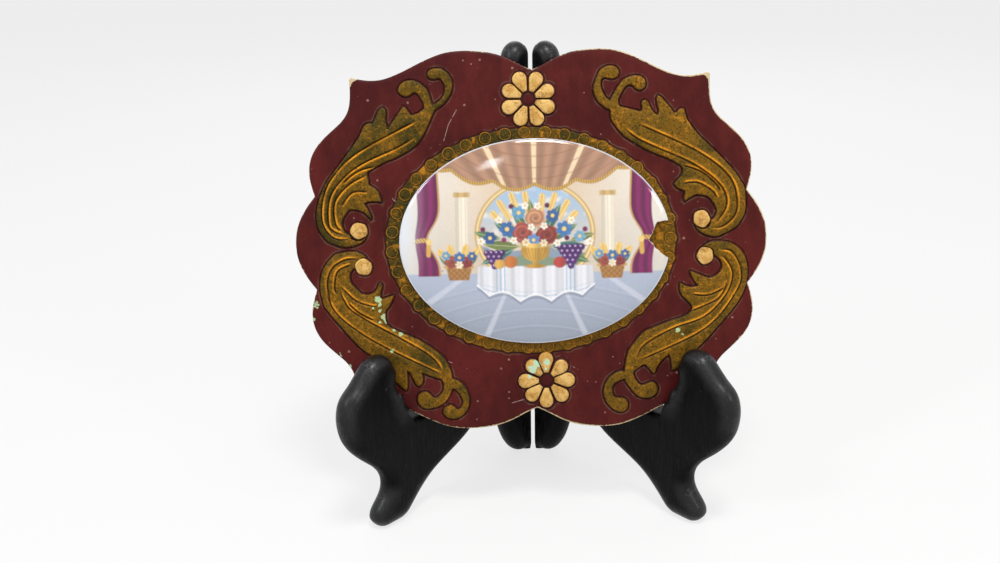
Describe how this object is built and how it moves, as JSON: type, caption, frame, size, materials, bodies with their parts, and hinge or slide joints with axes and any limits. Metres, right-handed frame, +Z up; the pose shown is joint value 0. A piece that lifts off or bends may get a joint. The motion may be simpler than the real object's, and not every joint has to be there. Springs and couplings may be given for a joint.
{
  "type": "wall plaque on a folding easel",
  "caption": "Scalloped maroon wooden plaque with gilt relief scrolls and a domed porcelain oval, leaning on a black folding wooden easel.",
  "frame": {"origin": "on the table, in the middle of the object's footprint", "axes": "+X to the viewer's right along the plaque's width, +Y to the back, +Z up; the plaque faces -Y"},
  "size_m": [0.178, 0.0812, 0.1745],
  "materials": {
    "maroon_paint": "satin maroon paint over gesso and wood, worn along the edges",
    "antique_gilt": "antiqued gilding over gesso relief",
    "pale_gilt": "pale satin gilding over gesso relief",
    "glazed_porcelain": "high gloss glaze over a printed picture",
    "adhesive": "set adhesive",
    "black_wood": "satin black lacquer with the grain showing",
    "brass": "aged satin brass",
    "steel": "plain bright steel"
  },
  "bodies": {
    "spine": {"upper_hinge_pin": "steel", "lower_hinge_pin": "steel"},
    "left_fold": {"left_wing": "black_wood", "upper_hinge_left_leaf": "brass", "lower_hinge_left_leaf": "brass", "upper_hinge_left_screw_1": "steel", "upper_hinge_left_screw_2": "steel", "lower_hinge_left_screw_1": "steel", "lower_hinge_left_screw_2": "steel"},
    "right_fold": {"right_wing": "black_wood", "upper_hinge_right_leaf": "brass", "lower_hinge_right_leaf": "brass", "upper_hinge_right_screw_1": "steel", "upper_hinge_right_screw_2": "steel", "lower_hinge_right_screw_1": "steel", "lower_hinge_right_screw_2": "steel"},
    "plaque": {"plaque_board": "maroon_paint", "upper_left_scroll": "antique_gilt", "upper_right_scroll": "antique_gilt", "lower_left_scroll": "antique_gilt", "lower_right_scroll": "antique_gilt", "gilt_oval_ground": "antique_gilt", "upper_flower": "pale_gilt", "lower_flower": "pale_gilt", "upper_left_pearl": "pale_gilt", "lower_left_pearl": "pale_gilt", "upper_right_pearl": "pale_gilt", "lower_right_pearl": "pale_gilt", "cameo_adhesive": "adhesive", "cameo_oval": "glazed_porcelain", "hanger_strap": "brass", "hanger_brad_1": "brass", "hanger_brad_2": "brass"},
    "ring": {"hanger_ring": "brass"}
  },
  "joints": [
    {"name": "plaque_lift", "type": "slide", "parent": "spine", "child": "plaque", "axis": [0, 0, 1], "range_m": [0, 0.15]},
    {"name": "right_wing_fold", "type": "hinge", "parent": "spine", "child": "right_fold", "pos_m": [0.00095, 0.03435, 0.0872], "axis": [0, 0, -1], "range_deg": [0, 41.4]},
    {"name": "left_wing_fold", "type": "hinge", "parent": "spine", "child": "left_fold", "pos_m": [0.00095, 0.03435, 0.0872], "axis": [0, 0, 1], "range_deg": [0, 41.4]},
    {"name": "hanger_ring_swing", "type": "hinge", "parent": "plaque", "child": "ring", "pos_m": [0.00125, 0.0179, 0.12552], "axis": [1, 0, 0], "range_deg": [-16, 160]}
  ],
  "couplings": [
    {"joint": "right_wing_fold", "follows": "plaque_lift", "rad_per_m": 4.817},
    {"joint": "left_wing_fold", "follows": "plaque_lift", "rad_per_m": 4.817}
  ]
}
